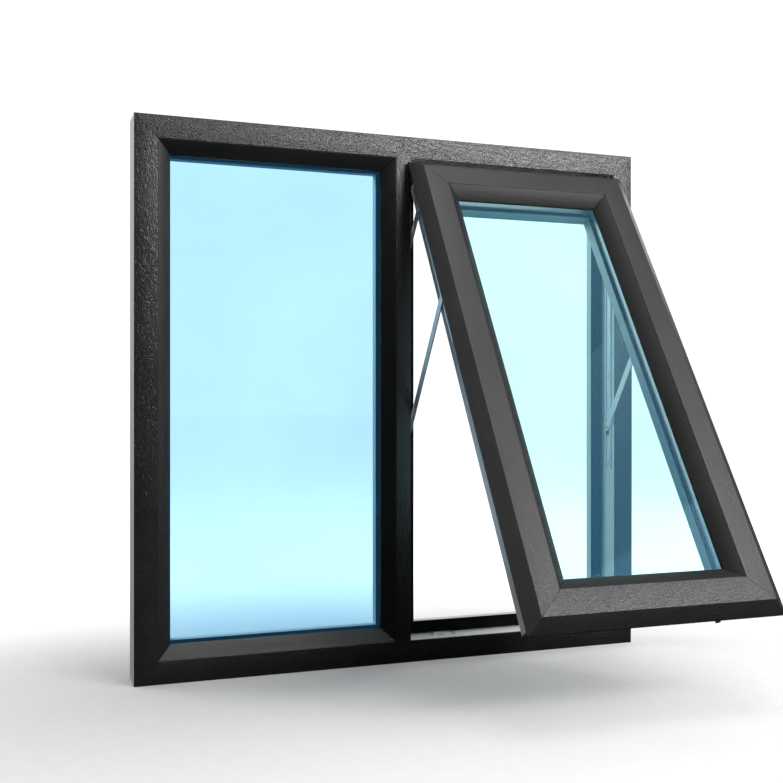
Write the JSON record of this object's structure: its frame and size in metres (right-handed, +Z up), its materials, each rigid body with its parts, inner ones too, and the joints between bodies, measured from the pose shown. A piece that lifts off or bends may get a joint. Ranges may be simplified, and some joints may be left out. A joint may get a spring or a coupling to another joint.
{
  "type": "casement window",
  "caption": "Two-light plastic window: bevel-beaded fixed light beside a top-hung casement on friction stays, black woodgrain outside, white inside, with an espagnolette lock and inside handle.",
  "frame": {"origin": "centre of the sill's bottom face, at mid depth of the outer frame", "axes": "+X to the right seen from outside, +Y from outside into the room, +Z up"},
  "size_m": [1, 0.5738, 1],
  "materials": {
    "zinc_steel": "zinc plated",
    "galvanised_steel": "galvanised",
    "glass": "clear float, blue-green tint",
    "spacer_aluminium": "satin",
    "black_rubber": "matt extruded",
    "block_plastic": "moulded",
    "foiled_bead": "black woodgrain foil",
    "foiled_profile": "black woodgrain foil outside, white inside",
    "cap_plastic": "moulded",
    "brass": "plain",
    "stay_steel": "satin stainless",
    "lock_steel": "zinc plated",
    "button_chrome": "polished",
    "handle_paint": "white powder coat"
  },
  "bodies": {
    "frame": {"fixed_bead_bottom": "foiled_bead", "fixed_bead_left": "foiled_bead", "fixed_bead_right": "foiled_bead", "fixed_bead_top": "foiled_bead", "fixed_edge_seal": "black_rubber", "fixed_gasket_inner": "black_rubber", "fixed_gasket_outer": "black_rubber", "fixed_pane_inner": "glass", "fixed_pane_outer": "glass", "fixed_setting_blocks": "block_plastic", "fixed_spacer_bar": "spacer_aluminium", "frame_head": "foiled_profile", "frame_jamb_left": "foiled_profile", "frame_jamb_right": "foiled_profile", "frame_mullion": "foiled_profile", "frame_reinforcement_jambs": "galvanised_steel", "frame_reinforcement_mullion": "galvanised_steel", "frame_reinforcement_rails": "galvanised_steel", "frame_sill": "foiled_profile", "frame_weather_seal": "black_rubber", "lock_keep_screws": "zinc_steel", "lock_keeps": "lock_steel", "stay_end_caps": "cap_plastic", "stay_track_screws": "zinc_steel", "stay_tracks": "stay_steel"},
    "stay_arms": {"stay_links": "stay_steel", "stay_frame_rivets": "stay_steel"},
    "stay_struts": {"stay_struts": "stay_steel"},
    "stay_shoes": {"stay_shoes": "brass"},
    "lock_drive": {"lock_drive_bar": "lock_steel"},
    "handle": {"handle_lever": "handle_paint", "handle_spindle": "zinc_steel", "lock_pinion": "lock_steel"},
    "lock_button": {"handle_button": "button_chrome"},
    "sash": {"handle_base": "handle_paint", "handle_base_screws": "zinc_steel", "lock_faceplate": "lock_steel", "lock_faceplate_screws": "zinc_steel", "lock_gear_case": "lock_steel", "sash_bead_bottom": "foiled_bead", "sash_bead_left": "foiled_bead", "sash_bead_right": "foiled_bead", "sash_bead_top": "foiled_bead", "sash_edge_seal": "black_rubber", "sash_gasket_inner": "black_rubber", "sash_gasket_outer": "black_rubber", "sash_pane_inner": "glass", "sash_pane_outer": "glass", "sash_rail_bottom": "foiled_profile", "sash_rail_top": "foiled_profile", "sash_reinforcement_rails": "galvanised_steel", "sash_reinforcement_stiles": "galvanised_steel", "sash_setting_blocks": "block_plastic", "sash_spacer_bar": "spacer_aluminium", "sash_stile_left": "foiled_profile", "sash_stile_right": "foiled_profile", "sash_weather_seal": "black_rubber", "stay_bar_screws": "zinc_steel", "stay_sash_bars": "stay_steel", "stay_sash_rivets": "stay_steel"}
  },
  "joints": [
    {"name": "stay_arm_swing", "type": "hinge", "parent": "frame", "child": "stay_arms", "pos_m": [0, -0.014, 0.7961], "axis": [1, 0, 0], "range_deg": [-38.16, 21.84]},
    {"name": "sash_pivot", "type": "hinge", "parent": "stay_arms", "child": "sash", "pos_m": [0, -0.06609, 0.86238], "axis": [1, 0, 0], "range_deg": [-40.54, 70.46]},
    {"name": "strut_pivot", "type": "hinge", "parent": "sash", "child": "stay_struts", "pos_m": [0, -0.17717, 0.68323], "axis": [1, 0, 0], "range_deg": [-66.26, 38.14]},
    {"name": "shoe_pivot", "type": "hinge", "parent": "stay_struts", "child": "stay_shoes", "pos_m": [0, -0.014, 0.44098], "axis": [1, 0, 0], "range_deg": [-19.94, 34.46]},
    {"name": "handle_turn", "type": "hinge", "parent": "sash", "child": "handle", "pos_m": [0.23685, -0.47306, 0.17943], "axis": [0, 0.8499, -0.527], "range_deg": [0, 90]},
    {"name": "lock_drive_slide", "type": "slide", "parent": "sash", "child": "lock_drive", "axis": [1, 0, 0], "range_m": [-0.019, 0]},
    {"name": "lock_button_press", "type": "slide", "parent": "handle", "child": "lock_button", "axis": [0, -0.8499, 0.527], "range_m": [0, 0.002], "stiffness_N_per_m": 400}
  ],
  "couplings": [
    {"joint": "sash_pivot", "follows": "stay_arm_swing", "ratio": -1.8333},
    {"joint": "strut_pivot", "follows": "stay_arm_swing", "ratio": 1.7233},
    {"joint": "shoe_pivot", "follows": "stay_arm_swing", "ratio": -0.89},
    {"joint": "lock_drive_slide", "follows": "handle_turn", "m_per_rad": -0.012}
  ]
}
